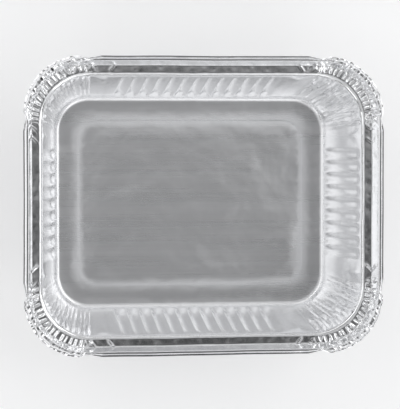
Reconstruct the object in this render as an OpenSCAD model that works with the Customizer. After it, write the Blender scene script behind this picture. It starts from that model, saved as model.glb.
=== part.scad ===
// Foil food container: one pressed sheet of aluminium foil with fluted walls, gathered corners,
// a flat ledge for a lid and an upright rim with its edge folded over outwards.
// The origin is the middle of the base, +Z is up and +X runs along the long side.

/* [Overall size] */
// Length over the folded rim edge
top_length = 142.9; // [130:0.1:170]
// Width over the folded rim edge
top_width = 117.5; // [105:0.1:140]
// Height from the base to the top of the rim
height = 42; // [34:0.5:60]
// How far each wall leans out between the base and the ledge
wall_lean = 8.1; // [6:0.1:11]
// Thickness of the foil
foil = 0.09; // [0.07:0.01:0.14]

/* [Rim] */
// Height of the rim wall above the ledge
rim_height = 6.5; // [5:0.1:8]
// How far the rim wall leans out over its height
rim_flare = 1.6; // [0.8:0.1:2.4]
// Width of the flat ledge between wall and rim
ledge_width = 4; // [3:0.1:6]
// How far the folded edge stands out from the rim wall
hem_width = 2; // [1.6:0.1:2.6]
// How far the folded edge reaches down
hem_drop = 1.3; // [0.9:0.1:1.8]
// Width of the level lip along the outer edge of the fold
hem_lip = 0.75; // [0.4:0.05:0.9]
// Length of the folded flap on each long side
hem_flap_long = 80; // [74:1:84]
// Length of the folded flap on each short side
hem_flap_short = 57; // [52:1:60]
// How much shorter the flap is at its outer edge than at its fold, at each end
hem_slant = 5; // [3:0.5:6]

/* [Corners] */
// Corner radius of the folded rim edge
rim_corner_radius = 23; // [21:0.5:25]
// Corner radius of the outer edge of the ledge
ledge_corner_radius = 21; // [19:0.5:24]
// Corner radius of the opening
opening_corner_radius = 19; // [16:0.5:22]
// Corner radius of the base
base_corner_radius = 14; // [11:0.5:16]
// Gathers in the foil round each corner
gather_count = 14; // [8:1:14]
// Depth of the deepest gather just under the ledge
gather_depth = 1.3; // [0.5:0.1:1.4]
// Height of the wrinkles across the ledge
ledge_wrinkle = 0.35; // [0.1:0.05:0.4]
// Depth of the wrinkles in the rim wall
rim_wrinkle = 0.3; // [0.1:0.05:0.5]
// Depth of the V-shaped tuck between the flutes and each corner
tuck_depth = 0.45; // [0.2:0.05:0.6]
// Height of the tuck, from its tip to the plain wall above the flutes
tuck_height = 10; // [6:0.5:14]

/* [Flutes] */
// Distance from one flute to the next
flute_pitch = 5; // [4.6:0.1:5.2]
// Flutes along each long side
long_flutes = 13; // [9:2:13]
// Flutes along each short side
short_flutes = 9; // [5:2:9]
// Height of a flute above the valleys beside it
flute_depth = 0.95; // [0.4:0.05:1.1]
// Plain wall left between the flutes and the ledge
flute_stop = 2.2; // [1.8:0.1:4]
// Length over which a flute rises out of the wall
flute_runout = 2.6; // [1.2:0.1:3]

/* [Base] */
// Radius of the edge between base and wall
base_edge_radius = 2.2; // [1.5:0.1:3]
// Width of the flat strip on which the container stands
foot_width = 7; // [4:0.5:10]
// Height of the panel inside the strip
panel_rise = 0.25; // [0.1:0.05:0.3]
// Width of the slope up to the panel
panel_slope = 1.2; // [0.8:0.1:2]

/* [Hidden] */

// Heights of the middle of the foil
low_z = foil / 2;
top_z = height - foil / 2;
ledge_z = height - rim_height;
panel_z = low_z + panel_rise;

// Distances in from the outline of the folded rim edge
ledge_inset = hem_width + rim_flare;
opening_inset = ledge_inset + ledge_width;
base_inset = opening_inset + wall_lean;

// Round bends in the section
wall_angle = atan2(wall_lean, ledge_z);
bend_half = (90 - wall_angle) / 2;
bend_run = base_edge_radius * tan(bend_half);
bend_top_inset = base_inset - bend_run * sin(wall_angle);
bend_top_z = low_z + bend_run * cos(wall_angle);
bend_mid = base_edge_radius * (1 / cos(bend_half) - 1);
ledge_bend = 0.7;
ledge_middle = ledge_width * 0.4;
fold_rise = 0.35;
fold_run = 0.22;
lip_fall = 0.16;
edge_clear = foil / 2;

// Wall heights at which the flutes start, reach full depth and end
flute_low_z = bend_top_z + flute_runout;
flute_high_z = ledge_z - flute_stop - flute_runout;
flute_end_z = ledge_z - flute_stop;
tuck_tip_z = flute_end_z - tuck_height;

// Points across one flute: how far along the pitch, and how high on the flute
flute_round = 2.4;
FLUTE_POINTS = [for (place = [0, 0.2, 0.5, 0.8]) [place, 1 - pow(abs(2 * place - 1), flute_round)]];

// The tuck's middle and the reach of its arms, as shares of the plain panel
tuck_middle = 0.55;
tuck_arm = 0.42;
tuck_tip = 0.05;

// A value from 0 to 1 for any whole number, which looks as if drawn by chance
function chance(number) = let (wave = 100 * sin(137.508 * number)) wave - floor(wave);

// Stations round one corner: every second one is the bottom of a gather
corner_steps = 2 * gather_count;
function corner_chance(row, corner, step) = chance(row + 40 * corner + step);
function fold_depth(corner, step) = 0.25 + 0.75 * pow(corner_chance(100, corner, step), 2);
function plate_bulge(corner, step) = 0.3 * corner_chance(300, corner, step);
function angle_shift(corner, step) = -0.3 + 0.6 * corner_chance(500, corner, step);
function fold_lean(corner, step) = -0.3 + 0.6 * corner_chance(700, corner, step);

// How deep the gathers are at a share of the wall's height
GATHER_RISE = [[0.05, 0.08], [0.22, 0.3], [0.56, 0.65], [0.87, 0.85], [0.94, 0.45], [0.98, 0.12]];
function gather_share(z) = gather_depth * lookup(z / ledge_z, GATHER_RISE);

// How far the folded edge stands out where the flap ends and the corner begins
notch_reach = 0.45;
corner_reach = 0.55;
least_reach = 0.86;

// The flap and its notch end before the corner, at most at these shares of the plain panel
last_flap_share = 0.9;
last_notch_share = 0.98;

// Kinds of station
FLUTE = 0;
PANEL = 1;
CORNER = 2;
TUCK = 3;

// Bands of rings, and which of them use a station
WALL = 0;
RIM = 1;
BASE = 2;
ALL_BANDS = [true, true, true];
WALL_AND_RIM = [true, true, false];
WALL_ONLY = [true, false, false];
RIM_ONLY = [false, true, false];

function wall_inset(z) = base_inset - wall_lean * z / ledge_z;
function wall_radius(z) =
    base_corner_radius + (opening_corner_radius - base_corner_radius) * z / ledge_z;

// Rings from the base outwards and up to the free edge. Each is inset, height, corner radius,
// share of the flutes and tucks, depth of the gathers, band
RINGS = [
    [base_inset + bend_run + foot_width + panel_slope, panel_z, base_corner_radius / 2, 0, 0, BASE],
    [base_inset + bend_run + foot_width, low_z, base_corner_radius / 2 + panel_slope, 0, 0, BASE],
    [base_inset + bend_run, low_z, base_corner_radius - bend_run, 0, 0, BASE],
    [base_inset + bend_mid * sin(bend_half + wall_angle) * 0.5, low_z + bend_mid * cos(bend_half),
        base_corner_radius, 0, 0, BASE],
    [bend_top_inset, bend_top_z, wall_radius(bend_top_z), 0, gather_share(bend_top_z), WALL],
    [wall_inset(flute_low_z), flute_low_z, wall_radius(flute_low_z), 1, gather_share(flute_low_z), WALL],
    [wall_inset(tuck_tip_z), tuck_tip_z, wall_radius(tuck_tip_z), 1, gather_share(tuck_tip_z), WALL],
    [wall_inset(flute_high_z), flute_high_z, wall_radius(flute_high_z), 1,
        gather_share(flute_high_z), WALL],
    [wall_inset(flute_end_z), flute_end_z, wall_radius(flute_end_z), 0, gather_share(flute_end_z), WALL],
    [wall_inset(ledge_z - ledge_bend), ledge_z - ledge_bend, opening_corner_radius, 0,
        gather_share(ledge_z - ledge_bend), RIM],
    [opening_inset - ledge_bend, ledge_z, opening_corner_radius, 0, 0, RIM],
    [opening_inset - ledge_middle, ledge_z, (opening_corner_radius + ledge_corner_radius) / 2, 0,
        ledge_wrinkle, RIM],
    [ledge_inset, ledge_z, ledge_corner_radius, 0, ledge_wrinkle * 0.8, RIM],
    [hem_width, top_z - fold_rise, rim_corner_radius, 0, rim_wrinkle * 0.5, RIM],
    [hem_width - fold_run, top_z, rim_corner_radius, 0, rim_wrinkle * 0.5, RIM],
    [hem_lip, top_z - hem_drop + lip_fall, rim_corner_radius, 0, rim_wrinkle * 0.6, RIM],
    [edge_clear, top_z - hem_drop, rim_corner_radius, 0, rim_wrinkle * 0.5, RIM]
];
rim_top_ring = 13;
last_ring = len(RINGS) - 1;

// Half sizes of the outline, seen from side 0 to 3: out to the side, and along it
function half_out(side, inset) = (side % 2 == 0 ? top_length : top_width) / 2 - inset;
function half_along(side, inset) = (side % 2 == 0 ? top_width : top_length) / 2 - inset;
function flute_count(side) = side % 2 == 0 ? short_flutes : long_flutes;
function flute_reach(side) = flute_count(side) * flute_pitch / 2;
function flap_half(side) = (side % 2 == 0 ? hem_flap_short : hem_flap_long) / 2;

// Place of a point on the plain panel, as a share from the last flute to the corner of the rim
function panel_share(side, along) =
    (along - flute_reach(side)) / (half_along(side, hem_width) - rim_corner_radius - flute_reach(side));
function flap_share(side) = min(panel_share(side, flap_half(side)), last_flap_share);
function notch_share(side) = min(panel_share(side, flap_half(side) + hem_slant), last_notch_share);

// Stations once round the outline. Each is side, kind, place, ridge height or arm, which bands use it
function tuck_station(side, end, arm) = [side, TUCK, end, arm, WALL_ONLY];
function panel_station(side, share) = [side, PANEL, share, 0, RIM_ONLY];
function flute_station(side, flute, point) =
    let (shared = (flute == 0 && point == 0) || (flute == floor(flute_count(side) / 2) && point == 2))
    let (along = (flute + FLUTE_POINTS[point][0]) * flute_pitch - flute_reach(side))
    [side, FLUTE, along, FLUTE_POINTS[point][1], shared ? ALL_BANDS : WALL_ONLY];
function side_stations(side) = concat(
    [tuck_station(side, -1, 1), panel_station(side, -notch_share(side)), tuck_station(side, -1, 0),
        panel_station(side, -flap_share(side)), tuck_station(side, -1, -1)],
    [for (flute = [0:flute_count(side) - 1], point = [0:3]) flute_station(side, flute, point)],
    [[side, FLUTE, flute_reach(side), 0, ALL_BANDS]],
    [tuck_station(side, 1, -1), panel_station(side, flap_share(side)), tuck_station(side, 1, 0),
        panel_station(side, notch_share(side)), tuck_station(side, 1, 1)]
);
function corner_stations(side) =
    [for (step = [0:corner_steps])
        [side, CORNER, step, 0, step % 3 == 0 || step == corner_steps ? ALL_BANDS : WALL_AND_RIM]];
STATIONS = [for (side = [0:3]) each concat(corner_stations(side), side_stations((side + 1) % 4))];
station_count = len(STATIONS);
SETS = [for (band = [WALL, RIM, BASE]) [for (i = [0:station_count - 1]) if (STATIONS[i][4][band]) i]];

function at_corner_end(step) = step == 0 || step == corner_steps;
function gather(corner, step) =
    at_corner_end(step) ? 0 : step % 2 == 1 ? -fold_depth(corner, step) : plate_bulge(corner, step);
function wrinkle(corner, step) =
    at_corner_end(step) ? 0 : (step % 2 == 1 ? -1 : 1) * fold_depth(corner, step);
function corner_angle(corner, step, rise) =
    at_corner_end(step) ? 90 * step / corner_steps
        : 90 * (step + angle_shift(corner, step) + fold_lean(corner, step) * (1 - rise)) / corner_steps;

// Where an arm of a tuck lies at a height, as a share of the plain panel
function tuck_share(arm, z) =
    let (spread = min(max((z - tuck_tip_z) / tuck_height, tuck_tip), 1))
    tuck_middle + arm * tuck_arm * spread;

// Share of the folded edge's full width at a station
function hem_reach(station) =
    station[1] == FLUTE ? 1
    : station[1] == PANEL ? (abs(station[2]) > flap_share(station[0]) + 0.01 ? notch_reach : 1)
    : at_corner_end(station[2]) ? corner_reach
    : least_reach + (1 - least_reach) * corner_chance(900, station[0], station[2]);

// Inset and height of a ring at a station: the rings of the folded edge draw in at its notches
function ring_place(ring, station) =
    let (place = [RINGS[ring][0], RINGS[ring][1]])
    let (root = [RINGS[rim_top_ring][0], RINGS[rim_top_ring][1]])
    ring <= rim_top_ring ? place : root + (place - root) * hem_reach(station);

// Direction square to the section at a ring, towards the inside of the container
function section_step(ring) =
    let (step = [RINGS[ring][0] - RINGS[ring + 1][0], RINGS[ring + 1][1] - RINGS[ring][1]])
    step / norm(step);
function section_normal(ring) =
    let (before = section_step(max(ring - 1, 0)))
    let (after = section_step(min(ring, last_ring - 1)))
    let (mean = (before + after) / norm(before + after))
    [-mean[1], mean[0]];

function turned(side, point, z) =
    side == 0 ? [point[0], point[1], z]
    : side == 1 ? [-point[1], point[0], z]
    : side == 2 ? [-point[0], -point[1], z]
    : [point[1], -point[0], z];

// How far a station is pushed out of the section, to the outside of the foil
function tuck_push(ring, station) =
    station[3] == 0 && RINGS[ring][1] > tuck_tip_z ? -RINGS[ring][3] * tuck_depth : 0;
function corner_push(ring, station) =
    let (fold = RINGS[ring][5] == WALL ? gather(station[0], station[2]) : wrinkle(station[0], station[2]))
    RINGS[ring][4] * fold;
function push(ring, station) =
    station[1] == FLUTE ? RINGS[ring][3] * flute_depth * station[3]
    : station[1] == TUCK ? tuck_push(ring, station)
    : station[1] == PANEL ? 0
    : corner_push(ring, station);

// Point of one skin: skin is -1 for the outside of the foil and 1 for the inside
function skin_point(ring, station, skin) =
    let (side = station[0])
    let (kind = station[1])
    let (place = ring_place(ring, station))
    let (radius = RINGS[ring][2])
    let (shift = section_normal(ring) * (skin * foil / 2 - push(ring, station)))
    let (out = half_out(side, place[0]))
    let (along = half_along(side, place[0]))
    let (straight = along - radius - flute_reach(side))
    let (share = kind == TUCK ? station[2] * tuck_share(station[3], place[1]) : station[2])
    let (across = kind == FLUTE ? station[2] : sign(share) * flute_reach(side) + share * straight)
    let (angle = corner_angle(side, station[2], min(place[1] / ledge_z, 1)))
    let (point = kind == CORNER ? [out - radius + (radius + shift[0]) * cos(angle), along - radius
        + (radius + shift[0]) * sin(angle)] : [out + shift[0], across])
    turned(side, point, place[1] + shift[1]);

// Points of both skins, ring by ring, then the middle of the base
function ring_set(ring) = SETS[RINGS[ring][5]];
SIZES = [for (ring = [0:last_ring]) len(ring_set(ring))];
function total(list, count) = count == 0 ? 0 : list[count - 1] + total(list, count - 1);
STARTS = [for (ring = [0:last_ring + 1]) total(SIZES, ring)];
skin_size = STARTS[last_ring + 1];
function skin_points(skin) =
    [for (ring = [0:last_ring], i = ring_set(ring)) skin_point(ring, STATIONS[i], skin)];
function middle_point(skin) = [0, 0, panel_z + skin * foil / 2];

// Place in a ring's stations of the one nearest to station i
function nearest(set, i) =
    let (before = len([for (k = set) if (k <= i) k]) - 1)
    let (after = (before + 1) % len(set))
    let (gap_after = (after == 0 ? station_count : set[after]) - i)
    i - set[before] <= gap_after ? before : after;

// Triangles between two rings, of which the first has the more stations
function strip(many, few, flip) =
    let (set = ring_set(many))
    let (ends = [for (i = set) nearest(ring_set(few), i)])
    [for (i = [0:len(set) - 1])
        let (next = (i + 1) % len(set))
        let (a = STARTS[many] + i)
        let (b = STARTS[many] + next)
        let (c = STARTS[few] + ends[i])
        let (d = STARTS[few] + ends[next])
        each concat([flip ? [b, a, d] : [a, b, d]], c == d ? [] : [flip ? [d, a, c] : [a, d, c]])];
function band(ring) =
    SIZES[ring] >= SIZES[ring + 1] ? strip(ring, ring + 1, true) : strip(ring + 1, ring, false);
OUTSIDE = [for (ring = [0:last_ring - 1]) each band(ring)];

module tray() {
    edge = STARTS[last_ring];
    edge_size = SIZES[last_ring];
    middle = 2 * skin_size;
    inside = [for (face = OUTSIDE) [face[1], face[0], face[2]] + [1, 1, 1] * skin_size];
    free_edge = [for (i = [0:edge_size - 1])
        let (a = edge + i)
        let (b = edge + (i + 1) % edge_size)
        each [[b, a, a + skin_size], [b, a + skin_size, b + skin_size]]];
    base = [for (i = [0:SIZES[0] - 1])
        let (next = (i + 1) % SIZES[0])
        each [[i, next, middle], [skin_size + next, skin_size + i, middle + 1]]];
    color("silver")
        polyhedron(points = concat(skin_points(-1), skin_points(1), [middle_point(-1), middle_point(1)]),
            faces = concat(OUTSIDE, inside, free_edge, base), convexity = 8);
}

tray();
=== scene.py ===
"""A foil food container, pressed from one sheet of aluminium foil, on a pale studio floor."""
import math
from typing import NamedTuple

import bpy
import numpy as np
from mathutils import Matrix, Vector
from mathutils.geometry import delaunay_2d_cdt


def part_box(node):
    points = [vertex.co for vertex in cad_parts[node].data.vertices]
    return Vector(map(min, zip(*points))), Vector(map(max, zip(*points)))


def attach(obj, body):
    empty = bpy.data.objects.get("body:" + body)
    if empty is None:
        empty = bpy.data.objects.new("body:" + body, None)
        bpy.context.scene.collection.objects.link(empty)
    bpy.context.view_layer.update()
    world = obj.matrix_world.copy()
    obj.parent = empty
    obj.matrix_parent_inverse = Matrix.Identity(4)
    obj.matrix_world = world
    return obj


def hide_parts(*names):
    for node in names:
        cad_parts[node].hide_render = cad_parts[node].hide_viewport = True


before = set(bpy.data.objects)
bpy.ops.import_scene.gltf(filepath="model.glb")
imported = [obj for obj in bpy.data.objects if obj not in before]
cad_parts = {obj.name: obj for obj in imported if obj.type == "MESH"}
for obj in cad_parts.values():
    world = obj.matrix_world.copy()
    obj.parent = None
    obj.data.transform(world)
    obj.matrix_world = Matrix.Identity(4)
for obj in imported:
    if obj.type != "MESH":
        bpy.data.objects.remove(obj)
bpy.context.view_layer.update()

tray_low, tray_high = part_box("tray")

# Sizes in millimetres, as in the part's source. The overall ones come from the frame.
MM = 0.001
TOP_LENGTH = (tray_high.x - tray_low.x) / MM
TOP_WIDTH = (tray_high.y - tray_low.y) / MM
HEIGHT = tray_high.z / MM
FOIL = 0.09
RIM_HEIGHT = 6.5
RIM_FLARE = 1.6
LEDGE_WIDTH = 4.0
WALL_LEAN = 8.1
HEM_WIDTH = 2.0
HEM_DROP = 1.3
HEM_FLAPS = {"long": 80.0, "short": 57.0}
HEM_SLANT = 5.0
RIM_RADIUS = 23.0
LEDGE_RADIUS = 21.0
OPENING_RADIUS = 19.0
BASE_RADIUS = 14.0
GATHERS = 14
GATHER_DEPTH = 1.3
LEDGE_WRINKLE = 0.35
RIM_WRINKLE = 0.3
FLUTE_PITCH = 5.0
FLUTES = {"long": 13, "short": 9}
FLUTE_DEPTH = 0.95
FLUTE_STOP = 2.2
FLUTE_RUNOUT = 2.6
TUCK_DEPTH = 0.45
TUCK_HEIGHT = 10.0
BASE_EDGE = 2.2
FOOT_WIDTH = 7.0
PANEL_RISE = 0.25
PANEL_SLOPE = 1.2

# Finer forms in millimetres: the bends of the sheet, the flat of the fold and the hem's lip
LEDGE_BEND = 1.6
RIM_FOOT_BEND = 0.35
HEM_BEND = 0.2
FOLD_FLAT = 0.6
LIP_WIDTH = 0.62
LIP_DROOP = 0.35
RIM_ROOT_DROP = 0.35

# Heights of the middle of the foil, distances in from the outline, and turns of the bends
LOW_Z = FOIL / 2
TOP_Z = HEIGHT - FOIL / 2
LEDGE_Z = HEIGHT - RIM_HEIGHT
LEDGE_INSET = HEM_WIDTH + RIM_FLARE
OPENING_INSET = LEDGE_INSET + LEDGE_WIDTH
BASE_INSET = OPENING_INSET + WALL_LEAN
RIM_ROOT = (HEM_WIDTH, TOP_Z - RIM_ROOT_DROP)
WALL_ANGLE = math.atan2(WALL_LEAN, LEDGE_Z)
WALL_TURN = math.pi / 2 - WALL_ANGLE
RIM_TURN = math.pi / 2 - math.atan2(RIM_FLARE, RIM_HEIGHT)
BEND_HALF = WALL_TURN / 2
BEND_RUN = BASE_EDGE * math.tan(BEND_HALF)
BEND_TOP_Z = LOW_Z + BEND_RUN * math.cos(WALL_ANGLE)

# Bands of the container, as bits: a station says which bands have a point there
WALL, LEDGE, RIM, BASE = 1, 2, 4, 8
EVERY_BAND = WALL | LEDGE | RIM | BASE
# Kinds of station round the sheet
FLUTE, PANEL, CORNER = 0, 1, 2
# Where the points lie: shares of a flute, and the first and last share and step on a plain panel
FLUTE_CELLS = (0.0, 0.08, 0.18, 0.32, 0.5, 0.68, 0.82, 0.92)
PANEL_CELLS = ((WALL, 0.12, 0.40, 0.14), (WALL, 0.40, 0.97, 0.055),
               (LEDGE, 0.06, 0.99, 0.037), (RIM, 0.50, 0.99, 0.045))
CORNER_CELLS = 160
CORNER_STEPS = 2 * GATHERS
CORNER_RUN = 33.0        # length round a corner at the ledge's outer edge, mm
FAR_AWAY = -99.0         # stands for a place near no corner, mm
BEND_STEPS = 5
WALL_HEIGHTS = (4.5, 6.3, 8.4, 10.8, 13.4, 16.0, 18.7, 21.3, 23.8, 26.1, 28.2, 30.1, 31.7, 33.0)
BASE_PITCH = 1.9
BASE_ROOM = 1.1

# Shapes of the flutes, of the tucks beside the corners, and of the long creases below the ledge
FLUTE_ROUND = 2.1
FLUTE_FOOT_CURVE = 0.6
FLUTE_TOP_CURVE = 1.2
VALLEY_ROUND = 0.3
# Strength of the painted shade in the flute valleys, a colour and not part of their shape
VALLEY_PAINTED_SHADE = 0.5
TUCK_MIDDLE = 0.55
TUCK_ARM = 0.42
BOLD_CREASES = 7
# Ridges across the ledge, a family a row: pitch, lean, depth, narrowest half, share made, seed
LEDGE_RIDGES = (
    (2.1, 0.0, 0.44, 0.42, 1.0, 0),
    (1.3, 0.1, 0.09, 0.22, 0.6, 150),
    (3.6, 0.45, 0.26, 0.32, 0.5, 300),
    (4.3, -0.5, 0.24, 0.30, 0.5, 600))
# Quarter turns that bring the first side to each side: x from x and y, then y from x and y
TURNS = [(1, 0, 0, 1), (0, -1, 1, 0), (-1, 0, 0, -1), (0, 1, -1, 0)]

# Finishes: the angle in degrees past which a fold looks sharp, and the colours
SHARP_ANGLE = 28.0
FOIL_GREY = (0.875, 0.88, 0.89, 1.0)
FOIL_PALE = (0.91, 0.912, 0.92, 1.0)
# The grey that the foil is mixed towards: a little of it gives the matt outer side its darker tone, and
# more of it is painted shade in folds and flute valleys
DULL_SIDE_AND_PAINTED_SHADE_GREY = (0.48, 0.485, 0.50, 1.0)
FLOOR_WHITE = (0.92, 0.92, 0.92, 1.0)

# The studio and the camera: metres, degrees, and millimetres for the camera's sensor
FLOOR_HALF = 3.0
FLOOR_GLOW = 0.22
DARK_PLACE = (0.15, -0.09, 0.985)        # direction of the dark place, a little off straight up
LAMP_DISTANCE = 1.3
CAMERA_DISTANCE = 0.8
CAMERA_LEFT = 8.7
CAMERA_BACK = 2.2
CAMERA_SENSOR = 36.0
WIDTH_IN_FRAME = 0.875


def chance(number):
    """A value from 0 to 1 for any whole number. The solid's gathers follow the same rule."""
    wave = 100.0 * np.sin(np.radians(137.508 * np.asarray(number, dtype=float)))
    return wave - np.floor(wave)


def smooth(value, low=0.0, high=1.0):
    """0 below low, 1 above high and a soft slope between."""
    share = np.clip((value - low) / (high - low), 0.0, 1.0)
    return share * share * (3.0 - 2.0 * share)


def fade(value, first, full, ebb, last):
    """0 up to first, 1 from full to ebb, and 0 again from last on."""
    return smooth(value, first, full) * (1.0 - smooth(value, ebb, last))


def tent(away, half_width):
    """1 on a line, falling straight to 0 at half the width on both sides of it."""
    return np.clip(1.0 - np.abs(away) / half_width, 0.0, 1.0)


def lattice(x, y, across, row_step, shift):
    """Values from -1 to 1 at whole places, blended by a share across x and softly along y."""
    column, row = np.floor(x), np.floor(y)
    up = smooth(y - row)

    def value(i, j):
        return 2.0 * chance(column + i + row_step * (row + j) + shift) - 1.0

    low = value(0, 0) * (1 - across) + value(1, 0) * across
    high = value(0, 1) * (1 - across) + value(1, 1) * across
    return low * (1 - up) + high * up


def soft_noise(x, y, seed):
    """Rounded hills and hollows from -1 to 1, one unit apart."""
    return lattice(x, y, smooth(x - np.floor(x)), 57.0, 131.0 * seed)


def folded_noise(x, y, seed):
    """Sharp creases across x that wander softly along y, from -1 to 1."""
    return lattice(x, y, x - np.floor(x), 71.0, 173.0 * seed)


def side_name(side):
    """Sides 0 and 2, at the right and the left, are the short ones."""
    return "short" if side % 2 == 0 else "long"


def half_out(side, inset):
    """Distance from the middle out to a side, less an inset."""
    return (TOP_LENGTH if side % 2 == 0 else TOP_WIDTH) / 2 - inset


def half_along(side, inset):
    """Half the length of a side, less an inset."""
    return (TOP_WIDTH if side % 2 == 0 else TOP_LENGTH) / 2 - inset


def flute_reach(side):
    """Distance from the middle of a side to the end of its last flute."""
    return FLUTES[side_name(side)] * FLUTE_PITCH / 2


def panel_run(side):
    """Length of the plain panel between the last flute and the corner, at the opening."""
    return half_along(side, OPENING_INSET) - OPENING_RADIUS - flute_reach(side)


def panel_share(side, along):
    """Where a point of the rim lies on the plain panel: 0 at the last flute, 1 at the corner."""
    start = flute_reach(side)
    return (along - start) / (half_along(side, HEM_WIDTH) - RIM_RADIUS - start)


def flap_shares(side):
    """Where the hem's straight flap and its slanted notch end, as shares of the plain panel."""
    flap = HEM_FLAPS[side_name(side)] / 2
    return panel_share(side, flap), panel_share(side, flap + HEM_SLANT)


def flute_profile(place):
    """Height at a share of the pitch, from 0 to 1: a rounded rib between rounded valleys."""
    rib = 1.0 - abs(2 * place - 1) ** FLUTE_ROUND
    full = math.hypot(1.0, VALLEY_ROUND) - VALLEY_ROUND
    return (math.hypot(rib, VALLEY_ROUND) - VALLEY_ROUND) / full


def panel_stations(side):
    """Shares of a plain panel that have points, each with the bands that have them."""
    flap, notch = flap_shares(side)
    hem_points = (0.16, flap - 0.04, flap, (flap + notch) / 2, notch, notch + 0.04)
    shares = {round(share, 4): RIM for share in hem_points}
    for band, first, last, step in PANEL_CELLS:
        for share in np.arange(first, last, step):
            share = round(float(share), 4)
            shares[share] = shares.get(share, 0) | band
    return sorted((share, bands) for share, bands in shares.items() if 0.03 < share < 0.995)


def side_stations(side):
    """Rows of side, kind, place, ridge and bands, from one corner of a side to the other."""
    panel = panel_stations(side)
    rows = [(side, PANEL, -share, 0.0, bands) for share, bands in reversed(panel)]
    for flute in range(FLUTES[side_name(side)]):
        for place in FLUTE_CELLS:
            bands = WALL
            bands |= LEDGE | RIM if place in (0.0, 0.5) else 0
            bands |= BASE if place == 0.0 and flute % 2 == 0 else 0
            along = (flute + place) * FLUTE_PITCH - flute_reach(side)
            rows.append((side, FLUTE, along, flute_profile(place), bands))
    rows.append((side, FLUTE, flute_reach(side), 0.0, EVERY_BAND))
    return rows + [(side, PANEL, share, 0.0, bands) for share, bands in panel]


def corner_stations(side):
    """Rows round one corner: the ledge has the most of them, for its narrow ridges."""
    rows = []
    for cell in range(CORNER_CELLS + 1):
        bands = LEDGE
        bands |= WALL if cell % 3 != 2 else 0
        bands |= RIM if cell % 5 != 2 else 0
        bands |= BASE if cell % 10 == 0 else 0
        if cell == CORNER_CELLS:
            bands = EVERY_BAND
        rows.append((side, CORNER, cell / CORNER_CELLS, 0.0, bands))
    return rows


STATIONS = [row for side in range(4) for row in corner_stations(side) + side_stations((side + 1) % 4)]
SIDE, KIND, PLACE, RIDGE, BANDS = (np.array(column) for column in zip(*STATIONS))
SETS = {band: np.flatnonzero(BANDS & band) for band in (WALL, LEDGE, RIM, BASE)}


def corner_coordinates():
    """The corner that each station is nearest to, and how far round it the station lies, in mm."""
    corners = np.full(len(STATIONS), -1)
    rounds = np.full(len(STATIONS), FAR_AWAY)
    for side in range(4):
        here = SIDE == side
        bend = here & (KIND == CORNER)
        corners[bend] = side
        rounds[bend] = PLACE[bend] * CORNER_RUN
        before = here & (KIND == PANEL) & (PLACE > 0)
        corners[before] = side
        rounds[before] = -(1 - PLACE[before]) * panel_run(side)
        after = here & (KIND == PANEL) & (PLACE < 0)
        corners[after] = (side - 1) % 4
        rounds[after] = CORNER_RUN + (1 + PLACE[after]) * panel_run(side)
    return corners, rounds


NEAR_CORNER, ROUND = corner_coordinates()


def round_corner(around, outside, inside):
    """1 round a corner, fading to 0 past both of its ends."""
    return smooth(around, outside, inside) * smooth(CORNER_RUN - around, outside, inside)


class Ring(NamedTuple):
    """A ring of the sheet: its place in the section, its corners, and its gathers and creases."""
    inset: float
    z: float
    radius: float
    band: int
    gather: float = 0.0
    crease: float = 0.0


def wall_inset(z):
    """How far in from the outline the plain wall is at a height."""
    return BASE_INSET - WALL_LEAN * z / LEDGE_Z


def wall_radius(z):
    """Radius of the wall's corners at a height."""
    return BASE_RADIUS + (OPENING_RADIUS - BASE_RADIUS) * z / LEDGE_Z


def arc(start, bend, radius, turn, steps):
    """Points of a bend in the section, after its first: inset falls as the foil runs outwards."""
    points = []
    inset, z = start
    side = math.copysign(1.0, turn)
    for step in range(1, steps + 1):
        swept = turn * step / steps
        run = side * radius * (math.sin(bend + swept) - math.sin(bend))
        rise = -side * radius * (math.cos(bend + swept) - math.cos(bend))
        points.append((inset - run, z + rise))
    return points


def between(first, last, share):
    """The point at a share of the way from one point of the section to another."""
    return first[0] + (last[0] - first[0]) * share, first[1] + (last[1] - first[1]) * share


def base_rings():
    """The slope of the raised panel, and the flat strip that the container stands on."""
    flat_inset = BASE_INSET + BEND_RUN
    foot_inset = flat_inset + FOOT_WIDTH
    radius = BASE_RADIUS - BEND_RUN - FOOT_WIDTH / 2
    return [
        Ring(foot_inset + PANEL_SLOPE, LOW_Z + PANEL_RISE, radius - PANEL_SLOPE, BASE),
        Ring(foot_inset + PANEL_SLOPE / 2, LOW_Z + PANEL_RISE / 2, radius - PANEL_SLOPE / 2, BASE),
        Ring(foot_inset, LOW_Z, radius, BASE),
        Ring(flat_inset + FOOT_WIDTH / 2, LOW_Z, BASE_RADIUS - BEND_RUN - FOOT_WIDTH / 4, BASE),
        Ring(flat_inset, LOW_Z, BASE_RADIUS - BEND_RUN, BASE)]


def wall_rings(start):
    """The edge radius and the wall. Gathers deepen on the way up and ebb just below the ledge."""
    rings = []
    for step, point in enumerate(arc(start, 0.0, BASE_EDGE, 2 * BEND_HALF, BEND_STEPS)):
        radius = BASE_RADIUS - BEND_RUN * (1 - (step + 1) / BEND_STEPS)
        band = BASE if step < 1 else WALL
        rings.append(Ring(*point, radius, band, GATHER_DEPTH * 0.02 * step, 0.01 * step))
    top = LEDGE_Z - LEDGE_BEND * (1.0 - math.cos(WALL_TURN))
    for z in (*WALL_HEIGHTS, top):
        share = np.interp(z, [2.0, 8.0, 20.0, 31.0, 33.5, LEDGE_Z - 0.9],
                          [0.08, 0.30, 0.65, 0.85, 0.45, 0.12])
        rings.append(Ring(wall_inset(z), z, wall_radius(z), WALL, GATHER_DEPTH * share, 0.50 * share))
    return rings


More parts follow.
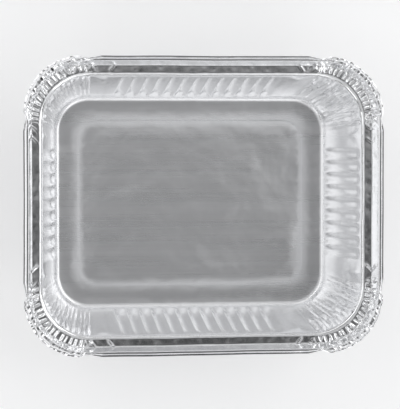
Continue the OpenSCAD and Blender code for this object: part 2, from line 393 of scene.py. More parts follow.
def ledge_rings(start):
    """The bend over the wall, and the pressed ledge with its ridges."""
    bend = arc(start, WALL_TURN, LEDGE_BEND, -WALL_TURN, BEND_STEPS)
    rings = [Ring(*point, OPENING_RADIUS, LEDGE) for point in bend]
    for share, ridges in ((0.05, 0.6), (0.16, 1.0), (0.35, 1.0), (0.55, 1.0), (0.75, 1.0), (0.92, 0.9)):
        point = between(bend[-1], (LEDGE_INSET + 0.2, LEDGE_Z), share)
        radius = OPENING_RADIUS + (LEDGE_RADIUS - OPENING_RADIUS) * share
        rings.append(Ring(*point, radius, LEDGE, LEDGE_WRINKLE * 0.15 * ridges, ridges))
    rings.append(Ring(LEDGE_INSET + 0.12, LEDGE_Z, LEDGE_RADIUS, LEDGE, LEDGE_WRINKLE * 0.25, 0.6))
    return rings


def rim_rings(start):
    """The upright rim, from the bend at its foot to its root below the fold."""
    bend = arc(start, 0.0, RIM_FOOT_BEND, RIM_TURN, 3)
    rings = [Ring(*point, LEDGE_RADIUS, RIM, RIM_WRINKLE * 0.5, 0.16) for point in bend]
    for share in (0.15, 0.35, 0.55, 0.75, 0.9, 1.0):
        point = between(bend[-1], RIM_ROOT, share)
        radius = LEDGE_RADIUS + (RIM_RADIUS - LEDGE_RADIUS) * share
        rings.append(Ring(*point, radius, RIM, RIM_WRINKLE * (0.8 - 0.4 * share), 0.36 - 0.04 * share))
    return rings


def hem_ring(point, gather, crease):
    """A ring of the hem, with a share of the rim's gathers and a depth of crease."""
    return Ring(*point, RIM_RADIUS, RIM, RIM_WRINKLE * gather, crease)


def hem_rings():
    """The fold: a flat strip, a slope outwards and down, and a level lip with the free edge."""
    rings = [hem_ring(point, 0.40, 0.32) for point in arc(RIM_ROOT, RIM_TURN, HEM_BEND, -RIM_TURN, 3)]
    flat = (rings[-1].inset - FOLD_FLAT, rings[-1].z)
    slope = math.atan2(HEM_DROP - 0.2, HEM_WIDTH - 0.8)
    bend = arc(flat, 0.0, HEM_BEND, -slope, 2)
    rings.append(hem_ring(flat, 0.40, 0.34))
    rings += [hem_ring(point, 0.40, 0.36) for point in bend]
    lip_z = TOP_Z - HEM_DROP
    for share in (0.35, 0.7, 1.0):
        rings.append(hem_ring(between(bend[-1], (LIP_WIDTH + 0.06, lip_z + 0.08), share), 0.45, 0.38))
    for inset in (LIP_WIDTH - 0.06, LIP_WIDTH * 0.55, FOIL / 2):
        rings.append(hem_ring((inset, lip_z), 0.40, 0.34))
    return rings


def section():
    """All rings from the base panel to the free edge, and the number of the rim's last one."""
    rings = base_rings()
    for band_rings in (wall_rings, ledge_rings, rim_rings):
        rings += band_rings(rings[-1][:2])
    return rings + hem_rings(), len(rings) - 1


RINGS, RIM_TOP = section()
LEDGE_START = [number for number, ring in enumerate(RINGS) if ring.band == LEDGE][BEND_STEPS - 1]
RING_STARTS = [0] + [int(end) for end in np.cumsum([len(SETS[ring.band]) for ring in RINGS])]


def ring_path():
    """How far along the sheet each ring lies from the base panel, in mm."""
    steps = [math.hypot(b.inset - a.inset, b.z - a.z) for a, b in zip(RINGS, RINGS[1:])]
    return np.concatenate([[0.0], np.cumsum(steps)])


def ring_normals():
    """Direction out of the foil's outer face at each ring: outwards and upwards shares."""
    points = np.array([(-ring.inset, ring.z) for ring in RINGS])
    along = np.gradient(points, axis=0)
    along /= np.linalg.norm(along, axis=1, keepdims=True)
    return np.stack([along[:, 1], -along[:, 0]], axis=1)


PATH = ring_path()
NORMALS = ring_normals()


def gather_places(corner, rise):
    """Where one corner's steps lie, in shares of the corner, at a share of the wall's height."""
    steps = np.arange(CORNER_STEPS + 1)
    shift = -0.3 + 0.6 * chance(500 + 40 * corner + steps)
    lean = -0.3 + 0.6 * chance(700 + 40 * corner + steps)
    places = (steps + shift + lean * (1 - rise)) / CORNER_STEPS
    places[0], places[-1] = 0.0, 1.0
    return places


def gather_depths(corner, pressed):
    """How far each step of a corner goes in (-) or out (+) as a share of the deepest gather."""
    steps = np.arange(CORNER_STEPS + 1)
    folds = 0.25 + 0.75 * chance(100 + 40 * corner + steps) ** 2
    plates = 0.3 * chance(300 + 40 * corner + steps)
    depths = np.where(steps % 2 == 1, -folds, folds if pressed else plates)
    depths[0] = depths[-1] = 0.0
    return depths


def hem_reaches():
    """Share of the hem's full width at every station: whole flaps, notches and ragged corners."""
    reaches = np.ones(len(STATIONS))
    for side in range(4):
        flap, notch = flap_shares(side)
        panel = (SIDE == side) & (KIND == PANEL)
        reaches[panel] = np.interp(np.abs(PLACE[panel]), [flap, notch, 1.0], [1.0, 0.45, 0.55])
        corner = (SIDE == side) & (KIND == CORNER)
        steps = np.arange(CORNER_STEPS + 1)
        ragged = 0.86 + 0.14 * chance(900 + 40 * side + steps)
        ragged[0] = ragged[-1] = 0.55
        reaches[corner] = np.interp(PLACE[corner], steps / CORNER_STEPS, ragged)
    return reaches


REACHES = hem_reaches()
GATHERED = round_corner(ROUND, -1.0, 2.0)


def flute_share(z):
    """How much of its depth each station's flute has at a height: it runs out at both ends."""
    across = np.sqrt(np.clip(RIDGE, 0, 1))
    foot = BEND_TOP_Z + FLUTE_FOOT_CURVE * (1 - across)
    end = LEDGE_Z - FLUTE_STOP - FLUTE_TOP_CURVE * (1 - across)
    return fade(z, foot, foot + FLUTE_RUNOUT, end - FLUTE_RUNOUT, end)


def flute_height(z):
    """How far the foil of each station is pushed out into its flute at a height."""
    return FLUTE_DEPTH * RIDGE * flute_share(z)


def ledge_ridges(around, along, seed):
    """Narrow ridges and grooves that run across the pressed ledge, with flat foil between them."""
    height = np.zeros(len(around))
    for pitch, lean, deepest, narrowest, share_made, row in LEDGE_RIDGES:
        wander = around + lean * along + 0.5 * soft_noise(around / 6.0, along / 3.0, seed + row)
        place = wander / pitch
        cell = np.floor(place)
        number = seed * 70 + row + cell
        middle = 0.5 + 0.4 * (chance(number + 11) - 0.5)
        half_width = narrowest * (1.0 + 0.5 * chance(number + 23))
        deep = deepest * (0.35 + 0.65 * chance(number + 37)) * (chance(number + 91) < share_made)
        up = np.where(chance(number + 51) > 0.3, 1.0, -1.0)
        first = chance(number + 67) - 1.1
        last = 4.6 - 2.2 * chance(number + 83) ** 2
        length = fade(along, first, first + 0.6, last - 0.6, last)
        height += up * deep * length * tent((place - cell - middle) * pitch, half_width)
    return height


def rim_creases(around, along, corner):
    """Creases in the corners of the rim: fine upright ones, and two slants that cross them."""
    wander = around + 0.5 * soft_noise(around / 5.0, along / 4.0, 15 + corner)
    fine = folded_noise(wander, along / 9.0, 53 + corner)
    slanted = 0.45 * folded_noise((around - 0.35 * along) / 1.9, along / 5.0, 41 + corner)
    back_slanted = 0.35 * folded_noise((around + 0.5 * along) / 2.3, along / 4.0, 47 + corner)
    return fine + slanted + back_slanted


def wall_creases(around, along, corner):
    """Creases in the corners of the wall: fine upright ones, and two slants that cross them."""
    wander = around + 0.8 * soft_noise(around / 7.0, along / 5.0, 15 + corner)
    fine = 0.9 * folded_noise(wander / 0.95, along / 12.0, 11 + corner)
    slanted = 0.4 * folded_noise((around + 0.45 * along) / 2.1, along / 5.0, 23 + corner)
    back_slanted = 0.3 * folded_noise((around - 0.6 * along) / 2.7, along / 4.0, 29 + corner)
    return fine + slanted + back_slanted


def bold_creases(around, drop, corner):
    """A few long crooked creases that run down each corner of the wall from under the ledge."""
    push = np.zeros(len(around))
    for crease in range(BOLD_CREASES):
        number = 1200 + 20 * corner + crease
        start = CORNER_RUN * (crease + 0.15 + 0.7 * chance(number)) / BOLD_CREASES
        lean = 0.34 * (chance(number + 100) - 0.5)
        crook = 0.9 * soft_noise(drop / 6.0, 0.5, number)
        first = 7.0 * chance(number + 200) ** 2 - 0.5
        last = first + 11.0 + 16.0 * chance(number + 300)
        length = fade(drop, first, first + 2.5, last - 5.0, last)
        half_width = 0.45 + 0.25 * chance(number + 400)
        deep = 0.35 + 0.40 * chance(number + 500)
        line = start + lean * drop + crook
        push -= deep * length * tent(around - line, half_width)
    return push


def corner_gathers(number):
    """How far the corners' gathers and creases push the foil at each station of one ring."""
    ring = RINGS[number]
    push = np.zeros(len(STATIONS))
    if ring.gather == 0.0 and ring.crease == 0.0:
        return push
    pressed = ring.band != WALL
    rise = min(ring.z / LEDGE_Z, 1.0)
    past_end = -6.0 if pressed else -0.5
    along = PATH[number]
    for corner in range(4):
        near = NEAR_CORNER == corner
        around = ROUND[near]
        inside = np.clip(around / CORNER_RUN, 0.0, 1.0)
        places, depths = gather_places(corner, rise), gather_depths(corner, pressed)
        push[near] += ring.gather * np.interp(inside, places, depths)
        share = round_corner(around, past_end, 2.5)
        if ring.band == LEDGE:
            ridges = ledge_ridges(around, along - PATH[LEDGE_START], 5 + corner)
            push[near] += ring.crease * share * ridges
        elif pressed:
            push[near] += ring.crease * share * rim_creases(around, along, corner)
        else:
            push[near] += ring.crease * share * wall_creases(around, along, corner)
            push[near] += share * bold_creases(around, LEDGE_Z - 1.0 - ring.z, corner)
    return push


def tuck(share, z, end):
    """The V-shaped tuck in the plain panel beside a corner, with a fine crease in it."""
    top = LEDGE_Z - FLUTE_STOP
    spread = np.clip((z - (top - TUCK_HEIGHT)) / TUCK_HEIGHT, 0.05, 1.0)
    rise = fade(z, top - TUCK_HEIGHT, top - 0.7 * TUCK_HEIGHT, top - 1.8, top + 1.0)
    fold = TUCK_DEPTH * rise * tent(share - TUCK_MIDDLE, TUCK_ARM * spread)
    line = TUCK_MIDDLE - 0.20 + 0.4 * chance(40 + end) + 0.3 * (chance(60 + end) - 0.5) * spread
    fine = rise * tent(share - line, 0.07)
    return (0.10 + 0.10 * chance(80 + end)) * fine - fold


def ledge_strokes(away, over, end):
    """Two slanting strokes across the end of a plain ledge, at distances away from the corner."""
    pressed = np.interp(over, [0.0, 0.8, 3.0, 3.9], [0.0, 1.0, 1.0, 0.3])
    lean = 0.75 if chance(260 + end) > 0.5 else -0.75
    push = np.zeros(len(away))
    for stroke, (start, spacing) in enumerate(((1.6, 1.6), (6.2, 3.0))):
        number = 60 + 10 * stroke + end
        line = start + spacing * chance(number) + lean * (over - 2.0)
        strength = 0.16 + 0.16 * chance(number + 200)
        push -= strength * pressed * tent(away - line, 0.55)
    return push


def panel_creases(number):
    """How far the tucks and strokes beside the corners push the foil at each station of a ring."""
    ring = RINGS[number]
    push = np.zeros(len(STATIONS))
    if ring.band not in (WALL, LEDGE) or ring.z < BASE_EDGE:
        return push
    for end in range(8):
        side, ahead = end // 2, end % 2 == 0
        here = (SIDE == side) & (KIND == PANEL) & ((PLACE > 0) == ahead)
        share = np.abs(PLACE[here])
        if ring.band == WALL:
            push[here] = tuck(share, ring.z, end)
        else:
            away = (1.0 - share) * panel_run(side)
            push[here] = ledge_strokes(away, PATH[number] - PATH[LEDGE_START], end)
    return push


def ring_points(number):
    """The middle of the foil along one ring."""
    ring, root = RINGS[number], RINGS[RIM_TOP]
    radius = ring.radius
    points = np.zeros((len(STATIONS), 3))
    push = corner_gathers(number) + panel_creases(number)
    push[KIND == FLUTE] = flute_height(ring.z)[KIND == FLUTE] if ring.band == WALL else 0.0
    out_share, up_share = NORMALS[number]
    for side in range(4):
        here = SIDE == side
        inset, z = ring.inset, ring.z
        if number > RIM_TOP:
            inset = root.inset + (ring.inset - root.inset) * REACHES[here]
            z = root.z + (ring.z - root.z) * REACHES[here]
            z -= LIP_DROOP * GATHERED[here] * max(1.0 - ring.inset / LIP_WIDTH, 0.0)
        out, along = half_out(side, inset), half_along(side, inset)
        place, reach = PLACE[here], flute_reach(side)
        sway = push[here] * out_share
        on_panel = np.sign(place) * (reach + np.abs(place) * (along - radius - reach))
        straight = np.where(KIND[here] == PANEL, on_panel, place)
        corner = KIND[here] == CORNER
        angle = place * math.pi / 2
        x = np.where(corner, out - radius + (radius + sway) * np.cos(angle), out + sway)
        y = np.where(corner, along - radius + (radius + sway) * np.sin(angle), straight)
        x_from_x, x_from_y, y_from_x, y_from_y = TURNS[side]
        points[here, 0] = x_from_x * x + x_from_y * y
        points[here, 1] = y_from_x * x + y_from_y * y
        points[here, 2] = z + push[here] * up_share
    return points[SETS[ring.band]]


def base_fill(edge):
    """Points inside the base panel's outline and the faces that fill it."""
    ring = RINGS[0]
    columns = np.arange(-half_out(0, 0), half_out(0, 0), BASE_PITCH)
    rows = np.arange(-half_out(1, 0), half_out(1, 0), BASE_PITCH * 0.87)
    flat_x, flat_y = half_out(0, ring.inset) - ring.radius, half_out(1, ring.inset) - ring.radius
    grid = []
    for number, y in enumerate(rows):
        for x in columns + (number % 2) * BASE_PITCH / 2:
            dx, dy = max(abs(x) - flat_x, 0.0), max(abs(y) - flat_y, 0.0)
            if math.hypot(dx, dy) < ring.radius - BASE_ROOM:
                grid.append((float(x), float(y)))
    flat = [Vector(point[:2]) for point in edge] + [Vector(point) for point in grid]
    loop = [(i, (i + 1) % len(edge)) for i in range(len(edge))]
    found = delaunay_2d_cdt(flat, loop, [], 1, 1e-6)
    own = [origin[0] for origin in found[3]]
    faces = [[own[i] for i in face] for face in found[2]]
    return np.array([(x, y, ring.z) for x, y in grid]), faces


def strip(inner, outer, inner_start, outer_start, inner_stations, outer_stations):
    """Faces between two rings. Where only one has a station, the step takes the shorter diagonal."""
    total, faces = len(STATIONS), []
    inner_stations = np.append(inner_stations, total)
    outer_stations = np.append(outer_stations, total)
    i = j = 0
    while i < len(inner) or j < len(outer):
        a, b = inner_start + i % len(inner), inner_start + (i + 1) % len(inner)
        c, d = outer_start + j % len(outer), outer_start + (j + 1) % len(outer)
        if i < len(inner) and j < len(outer) and inner_stations[i + 1] == outer_stations[j + 1]:
            faces.append([a, c, d, b])
            i, j = i + 1, j + 1
            continue
        ahead = np.linalg.norm(inner[(i + 1) % len(inner)] - outer[j % len(outer)])
        behind = np.linalg.norm(outer[(j + 1) % len(outer)] - inner[i % len(inner)])
        if j == len(outer) or (i < len(inner) and ahead <= behind):
            faces.append([a, c, b])
            i += 1
        else:
            faces.append([a, c, d])
            j += 1
    return faces


def middle_sheet():
    """Points and faces of the middle of the foil. Faces look to the inside of the container."""
    rings = [ring_points(number) for number in range(len(RINGS))]
    grid, base_faces = base_fill(rings[0])
    shift = RING_STARTS[-1] - len(rings[0])
    faces = [[i if i < len(rings[0]) else i + shift for i in face] for face in base_faces]
    for number in range(len(RINGS) - 1):
        faces += strip(rings[number], rings[number + 1], RING_STARTS[number], RING_STARTS[number + 1],
                       SETS[RINGS[number].band], SETS[RINGS[number + 1].band])
    return np.concatenate(rings + [grid]), faces


def flat_places(points):
    """Where each point lay on the flat blank, and how gathered the foil is there."""
    reach = np.concatenate([np.full(len(SETS[ring.band]), path) for ring, path in zip(RINGS, PATH)])
    at_corner = round_corner(ROUND, -3.0, 2.5)
    gathered = []
    for ring in RINGS:
        level = abs(ring.z - LEDGE_Z) < 0.4
        here = np.full(len(STATIONS), 0.5) if level else at_corner * smooth(ring.z, 2.0, 8.0)
        gathered.append(here[SETS[ring.band]])
    gathered.append(np.zeros(len(points) - len(reach)))
    flat = points[:, :2].copy()
    panel = np.array([half_out(side, RINGS[0].inset) - RINGS[0].radius for side in (0, 1)])
    around = flat[:len(reach)]
    inner = np.clip(around, -panel, panel)
    away = around - inner
    length = np.maximum(np.linalg.norm(away, axis=1), 1e-6)
    flat[:len(reach)] = inner + away * ((reach + RINGS[0].radius) / length)[:, None]
    return flat, np.concatenate(gathered)


def painted_shade_in_folds(points):
    """Painted shade at each point, seen from outside and from inside: 1 deep in a sharp fold, and
    outside a softer share across the flute valleys.
    """
    outside, inside = np.zeros(len(points)), np.zeros(len(points))
    for number, ring in enumerate(RINGS[:RIM_TOP]):
        if ring.band not in (WALL, RIM) or ring.gather == 0.0:
            continue
        own = slice(RING_STARTS[number], RING_STARTS[number + 1])
        here = points[own, :2]
        out = here / np.linalg.norm(here, axis=1, keepdims=True)
        before, after = np.roll(here, 2, axis=0), np.roll(here, -2, axis=0)
        width = np.maximum(np.linalg.norm(after - before, axis=1), 0.5)
        hollow = (((before + after) / 2 - here) * out).sum(axis=1) / width
        fluted = KIND[SETS[ring.band]] == FLUTE
        # Painted shade across each flute valley, deepest at its bottom and gone where the flute runs out
        valley = VALLEY_PAINTED_SHADE * (1.0 - RIDGE) ** 1.5 * flute_share(ring.z) * (ring.band == WALL)
        outside[own] = np.where(fluted, valley[SETS[ring.band]], smooth(hollow, 0.05, 0.30))
        inside[own] = np.where(fluted, 0.0, smooth(-hollow, 0.03, 0.22))
    return outside, inside


def dullness(points):
    """Roughness of the bright side, smoothest on the pressed ledge, and of the matt side outside."""
    z = points[:, 2]
    base = 1.0 - smooth(z, 0.5, 3.0)
    ledge = smooth(z, LEDGE_Z - 0.8, LEDGE_Z - 0.2)
    inside = 0.19 + 0.08 * base - 0.06 * ledge
    outside = np.full(len(points), 0.31)
    return np.concatenate([inside, outside])


def uneven(points):
    """The slight dents and waves that thin foil takes on, in every face of the container."""
    x, y, z = points.T
    lifted = points.copy()
    base = 1.0 - smooth(z, 0.5, 2.5)
    from_edge = np.minimum(half_out(0, BASE_INSET) - np.abs(x), half_out(1, BASE_INSET) - np.abs(y))
    inside = smooth(from_edge, 6.0, 16.0)
    broad = 0.30 * soft_noise(x / 21.0 + 3.1, y / 26.0 + 1.7, 3)
    small = 0.10 * soft_noise(x / 9.0, y / 11.0, 5)
    lifted[:, 2] += base * inside * (broad + small + 0.35)
    rim = smooth(z, LEDGE_Z - 1.5, LEDGE_Z)
    lifted[:, 2] += rim * 0.10 * soft_noise(x / 13.0, y / 13.0, 7)
    wall = smooth(z, 2.5, 7.0)
    outward = np.stack([x / half_out(0, OPENING_INSET), y / half_out(1, OPENING_INSET)], axis=1)
    outward /= np.maximum(np.linalg.norm(outward, axis=1, keepdims=True), 1e-6)
    bulge = 0.13 * soft_noise((x - y) / 19.0, (z + x * 0.3) / 11.0, 9)
    lifted[:, :2] += (wall * bulge)[:, None] * outward
    return lifted


def point_normals(points, faces):
    """Directions that the points of a sheet face, from a mesh that is then taken away."""
    sheet = bpy.data.meshes.new("middle_of_foil")
    sheet.from_pydata([tuple(point) for point in points], [], faces)
    normals = np.zeros(len(points) * 3)
    sheet.vertex_normals.foreach_get("vector", normals)
    bpy.data.meshes.remove(sheet)
    return normals.reshape(-1, 3)


def new_object(name, points, faces):
    """A mesh object from points in millimetres, smooth but for its sharp folds."""
    mesh = bpy.data.meshes.new(name)
    mesh.from_pydata([tuple(point) for point in points * MM], [], faces)
    mesh.validate()
    mesh.update()
    mesh.shade_smooth()
    mesh.set_sharp_from_angle(angle=math.radians(SHARP_ANGLE))
    thing = bpy.data.objects.new(name, mesh)
    bpy.context.scene.collection.objects.link(thing)
    return thing


def mark(thing, name, values):
    """Gives each point of a mesh a value, or a place, under a name that the material reads."""
    is_place = values.ndim == 2
    made = thing.data.attributes.new(name, "FLOAT_VECTOR" if is_place else "FLOAT", "POINT")
    made.data.foreach_set("vector" if is_place else "value", values.astype(np.float32).ravel())


def foil_tray():
    """Both skins of the foil, a foil's thickness apart, joined at the free edge of the hem."""
    points, faces = middle_sheet()
    points = uneven(points)
    offset = point_normals(points, faces) * FOIL / 2
    both = np.concatenate([points + offset, points - offset])
    both[:, 2] = np.clip(both[:, 2], 0.0, HEIGHT)
    count = len(points)
    skins = faces + [[i + count for i in reversed(face)] for face in faces]
    edge = range(RING_STARTS[-2], RING_STARTS[-1])
    for a, b in zip(edge, [*edge[1:], edge[0]]):
        skins.append([a, a + count, b + count, b])
    thing = new_object("foil_tray", both, skins)
    flat, gathered = flat_places(points)
    flat = np.concatenate([flat, np.zeros((count, 1))], axis=1) * MM
    outside, inside = painted_shade_in_folds(points)
    mark(thing, "flat_place", np.concatenate([flat, flat]))
    mark(thing, "gathered", np.concatenate([gathered, gathered]))
    # Inside, painted shade in the folds; outside, the matt side's darker tone plus painted shade in
    # folds and flute valleys
    mark(thing, "matt_side_and_painted_shade", np.concatenate([0.2 * inside, 0.26 + 0.74 * outside]))
    mark(thing, "dullness", dullness(points))
    return thing


def plain_group(name, sockets_in, sockets_out):
    """An empty node group with named sockets, and its input and output nodes."""
    group = bpy.data.node_groups.new(name, "ShaderNodeTree")
    for socket, kind, default in sockets_in:
        made = group.interface.new_socket(socket, in_out="INPUT", socket_type=kind)
        if default is not None:
            made.default_value = default
    for socket, kind in sockets_out:
        group.interface.new_socket(socket, in_out="OUTPUT", socket_type=kind)
    return group, group.nodes.new("NodeGroupInput"), group.nodes.new("NodeGroupOutput")


def fill(tree, node, inputs):
    """Sets a node's inputs: another node's output is wired in, and a plain value is written."""
    for key, value in inputs.items():
        if isinstance(value, bpy.types.NodeSocket):
            tree.links.new(value, node.inputs[key])
        else:
            node.inputs[key].default_value = value


def add(tree, kind, inputs=None, **settings):
    """A new node with its settings and inputs."""
    node = tree.nodes.new(kind)
    for key, value in settings.items():
        setattr(node, key, value)
    fill(tree, node, inputs or {})
    return node


def maths(tree, operation, *terms):
    """Output of a node that works out the named operation, such as MULTIPLY or COSINE."""
    return add(tree, "ShaderNodeMath", dict(enumerate(terms)), operation=operation).outputs["Value"]


def eased(tree, value, start, end, low=0.0, high=1.0):
    """Output that goes softly from low to high while a value goes from start to end."""
    ranges = {"Value": value, "From Min": start, "From Max": end, "To Min": low, "To Max": high}
    return add(tree, "ShaderNodeMapRange", ranges, interpolation_type="SMOOTHSTEP").outputs["Result"]


def marked(tree, name, output="Fac"):
    """Output of a value that the mesh carries under a name."""
    return add(tree, "ShaderNodeAttribute", attribute_name=name).outputs[output]


def rolled_grain_group():
    """Straight streaks that the rolling mill leaves along the foil: their height and brightness."""
    group, given, result = plain_group(
        "rolled_grain",
        [("Place", "NodeSocketVector", None), ("Lines Per Metre", "NodeSocketFloat", 1500.0)],
        [("Height", "NodeSocketFloat"), ("Streak", "NodeSocketFloat")])
    place = given.outputs["Place"]
    lines = add(group, "ShaderNodeCombineXYZ",
                {"X": 12.0, "Y": given.outputs["Lines Per Metre"], "Z": 1.0})
    fine_place = add(group, "ShaderNodeVectorMath", {0: place, 1: lines.outputs["Vector"]},
                     operation="MULTIPLY")
    fine = add(group, "ShaderNodeTexNoise",
               {"Vector": fine_place.outputs["Vector"], "Scale": 1.0, "Detail": 3.0, "Roughness": 0.6})
    broad_place = add(group, "ShaderNodeVectorMath", {0: place, 1: (5.0, 160.0, 1.0)},
                      operation="MULTIPLY")
    broad = add(group, "ShaderNodeTexNoise",
                {"Vector": broad_place.outputs["Vector"], "Scale": 1.0, "Detail": 2.0, "Roughness": 0.5})
    streak = maths(group, "MULTIPLY", fine.outputs["Fac"], broad.outputs["Fac"])
    fill(group, result, {"Height": fine.outputs["Fac"], "Streak": streak})
    return group


def crumple_group():
    """Small flats and creases that handling presses into thin foil."""
    group, given, result = plain_group(
        "foil_crumple",
        [("Place", "NodeSocketVector", None), ("Gathered", "NodeSocketFloat", 0.0)],
        [("Height", "NodeSocketFloat")])
    place = given.outputs["Place"]
    dents = add(group, "ShaderNodeTexNoise",
                {"Vector": place, "Scale": 95.0, "Detail": 2.0, "Roughness": 0.45})
    flats = add(group, "ShaderNodeTexVoronoi", {"Vector": place, "Scale": 420.0, "Randomness": 1.0},
                feature="SMOOTH_F1")
    sharp = maths(group, "MULTIPLY", flats.outputs["Distance"], 0.55)
    masked = maths(group, "MULTIPLY", sharp, given.outputs["Gathered"])
    fill(group, result, {"Height": maths(group, "ADD", dents.outputs["Fac"], masked)})
    return group


def bright_foil():
    """Bright aluminium foil with its rolled grain, small dents and crumpled corners, and painted shade
    in its folds and flute valleys.
    """
    material = bpy.data.materials.new("bright_rolled_foil")
    material.use_nodes = True
    tree = material.node_tree
    grain = add(tree, "ShaderNodeGroup", node_tree=rolled_grain_group())
    fill(tree, grain, {"Place": marked(tree, "flat_place", "Vector")})
    crumple = add(tree, "ShaderNodeGroup", node_tree=crumple_group())
    solid_place = add(tree, "ShaderNodeTexCoord").outputs["Object"]
    fill(tree, crumple, {"Place": solid_place, "Gathered": marked(tree, "gathered")})
    tone = add(tree, "ShaderNodeMapRange",
               {"Value": grain.outputs["Streak"], "From Min": 0.12, "From Max": 0.42}).outputs["Result"]
    colour = add(tree, "ShaderNodeMix", {0: tone, 6: FOIL_GREY, 7: FOIL_PALE}, data_type="RGBA")
    # Painted shade: the colour goes towards the grey in folds and flute valleys, and a little over the
    # whole matt outer side for its darker tone
    colour_with_painted_shade = add(tree, "ShaderNodeMix",
                 {0: marked(tree, "matt_side_and_painted_shade"), 6: colour.outputs[2], 7: DULL_SIDE_AND_PAINTED_SHADE_GREY}, data_type="RGBA")
    dents = add(tree, "ShaderNodeBump",
                {"Height": crumple.outputs["Height"], "Strength": 0.5, "Distance": 0.0006})
    lines = add(tree, "ShaderNodeBump",
                {"Height": grain.outputs["Height"], "Normal": dents.outputs["Normal"],
                 "Strength": 0.05, "Distance": 0.00002})
    fill(tree, tree.nodes["Principled BSDF"], {
        "Base Color": colour_with_painted_shade.outputs[2],
        "Metallic": 1.0,
        "Roughness": maths(tree, "MULTIPLY_ADD", tone, 0.02, marked(tree, "dullness")),
        "Normal": lines.outputs["Normal"]})
    return material


tray = foil_tray()
foil = bright_foil()
tray.data.materials.append(foil)
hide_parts("tray")
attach(tray, "root")


def studio_floor():
    """A pale floor that also looks pale in the foil, and keeps the container's shadow."""
    half = FLOOR_HALF
    corners = [(-half, -half, 0), (half, -half, 0), (half, half, 0), (-half, half, 0)]
    mesh = bpy.data.meshes.new("floor")
    mesh.from_pydata(corners, [], [(0, 1, 2, 3)])
    floor = bpy.data.objects.new("floor", mesh)
    bpy.context.scene.collection.objects.link(floor)
    material = bpy.data.materials.new("pale_floor")
    material.use_nodes = True
    tree = material.node_tree
    ray = add(tree, "ShaderNodeLightPath").outputs
    direct = maths(tree, "MAXIMUM", ray["Is Camera Ray"], ray["Is Glossy Ray"])
    seen = maths(tree, "MAXIMUM", direct, ray["Is Transmission Ray"])
    fill(tree, tree.nodes["Principled BSDF"], {
        "Base Color": FLOOR_WHITE,
        "Roughness": 0.9,
        "Specular IOR Level": 0.0,
        "Emission Color": (1.0, 1.0, 1.0, 1.0),
        "Emission Strength": maths(tree, "MULTIPLY", seen, FLOOR_GLOW)})
    mesh.materials.append(material)


def room_colour(tree, toward):
    """The room's colour, from a dark place a little off the top down to the pale horizon."""
    facing = add(tree, "ShaderNodeVectorMath", {0: toward, 1: DARK_PLACE}, operation="DOT_PRODUCT")
    angle = maths(tree, "ARCCOSINE", facing.outputs["Value"])
    ramp = add(tree, "ShaderNodeValToRGB", {"Fac": maths(tree, "MULTIPLY", angle, 2.0 / math.pi)})
    stops = ramp.color_ramp.elements
    stops[0].position = 0.0
    stops[0].color = (0.03, 0.031, 0.032, 1)
    stops[1].position = 1.0
    stops[1].color = (0.88, 0.88, 0.89, 1)
    for position, level in ((0.06, 0.15), (0.12, 0.28), (0.20, 0.68), (0.34, 0.84), (0.5, 0.66)):
        stops.new(position).color = (level, level * 1.005, level * 1.02, 1)
    return ramp.outputs["Color"]


def gaps_between_lamps(tree, around, height):
    """Share of the light that slanting dark gaps leave, in a belt above the horizon."""
    slant = maths(tree, "MULTIPLY_ADD", height, 9.0, 0.35)
    wave = maths(tree, "COSINE", maths(tree, "MULTIPLY_ADD", around, 8.0, slant))
    belt = maths(tree, "MULTIPLY", eased(tree, height, 0.10, 0.22), eased(tree, height, 0.72, 0.60))
    dark = maths(tree, "MULTIPLY", belt, eased(tree, wave, -0.3, -0.7))
    return maths(tree, "MULTIPLY_ADD", dark, -0.94, 1.0)


def sides_of_room(tree, toward, height):
    """Share of the light towards each side: less at the left and at the back."""
    lifted = add(tree, "ShaderNodeVectorMath", {0: toward, "Scale": height}, operation="SCALE")
    parts = add(tree, "ShaderNodeSeparateXYZ", {0: lifted.outputs["Vector"]}).outputs
    back = eased(tree, parts["Y"], 0.13, 0.42, 1.0, 0.72)
    right = eased(tree, parts["X"], -0.42, 0.42, 0.80, 1.08)
    return maths(tree, "MULTIPLY", back, right)


def studio_world():
    """A bright room with a dark place overhead and gaps between its lamps, for the foil to mirror."""
    world = bpy.data.worlds.new("studio")
    bpy.context.scene.world = world
    world.use_nodes = True
    tree = world.node_tree
    tree.nodes.clear()
    toward = add(tree, "ShaderNodeTexCoord").outputs["Generated"]
    parts = add(tree, "ShaderNodeSeparateXYZ", {0: toward}).outputs
    around = maths(tree, "ARCTAN2", parts["Y"], parts["X"])
    ripple = maths(tree, "COSINE", maths(tree, "MULTIPLY", around, 11.0))
    ripple_share = maths(tree, "MULTIPLY_ADD", ripple, 0.08, 0.92)
    dimmed = maths(tree, "MULTIPLY", sides_of_room(tree, toward, parts["Z"]), ripple_share)
    strength = maths(tree, "MULTIPLY", gaps_between_lamps(tree, around, parts["Z"]), dimmed)
    light = add(tree, "ShaderNodeBackground", {"Color": room_colour(tree, toward), "Strength": strength})
    add(tree, "ShaderNodeOutputWorld", {"Surface": light.outputs["Background"]})


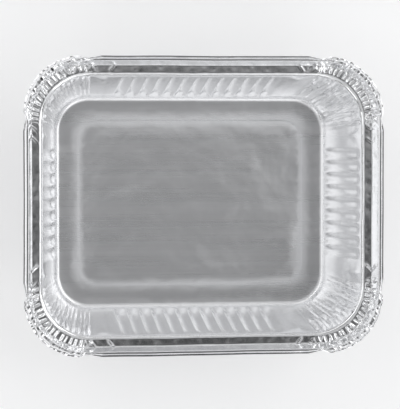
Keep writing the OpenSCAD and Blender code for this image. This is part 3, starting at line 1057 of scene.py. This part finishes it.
def soft_box(name, azimuth, elevation, size, brightness):
    """A lamp like a lit sheet, as bright as stated, that looks at the container."""
    lamp = bpy.data.lights.new(name, "AREA")
    lamp.shape = "RECTANGLE"
    lamp.size, lamp.size_y = size
    lamp.energy = brightness * math.pi * size[0] * size[1]
    thing = bpy.data.objects.new(name, lamp)
    around, up = math.radians(azimuth), math.radians(elevation)
    away = Vector((math.cos(up) * math.cos(around), math.cos(up) * math.sin(around), math.sin(up)))
    thing.location = away * LAMP_DISTANCE
    thing.rotation_euler = away.to_track_quat("Z", "Y").to_euler()
    bpy.context.scene.collection.objects.link(thing)


def studio_lamps():
    """A large lit sheet on each side, and a small bright one beyond each corner."""
    soft_box("left_box", 168.0, 42.0, (0.9, 0.8), 0.70)
    soft_box("right_box", 15.0, 42.0, (0.9, 0.8), 0.92)
    soft_box("back_box", 95.0, 36.0, (0.9, 0.6), 0.62)
    soft_box("front_box", 285.0, 36.0, (0.9, 0.5), 0.62)
    for azimuth in (50, 130, 230, 310):
        soft_box("corner_box_%d" % azimuth, azimuth, 42.0, (0.45, 0.45), 1.15)


def photo_camera():
    """Looks down from slightly left of the middle, the back long side at the top."""
    lean_left, lean_back = math.radians(CAMERA_LEFT), math.radians(CAMERA_BACK)
    away = Vector((-math.sin(lean_left), math.sin(lean_back), 0.0))
    away.z = math.sqrt(1.0 - away.length_squared)
    target = Vector((0.0, 0.0, HEIGHT * MM * 0.6))
    data = bpy.data.cameras.new("camera")
    camera = bpy.data.objects.new("camera", data)
    bpy.context.scene.collection.objects.link(camera)
    up = Vector((0.0, 1.0, 0.0))
    right = up.cross(away).normalized()
    up = away.cross(right).normalized()
    turn = Matrix((right, up, away)).transposed().to_4x4()
    camera.matrix_world = Matrix.Translation(target + away * CAMERA_DISTANCE) @ turn
    data.sensor_width = CAMERA_SENSOR
    data.lens = CAMERA_SENSOR * CAMERA_DISTANCE / (TOP_LENGTH * MM / WIDTH_IN_FRAME)
    bpy.context.scene.camera = camera


studio_floor()
studio_world()
studio_lamps()
photo_camera()
bpy.context.scene.view_settings.view_transform = "Standard"
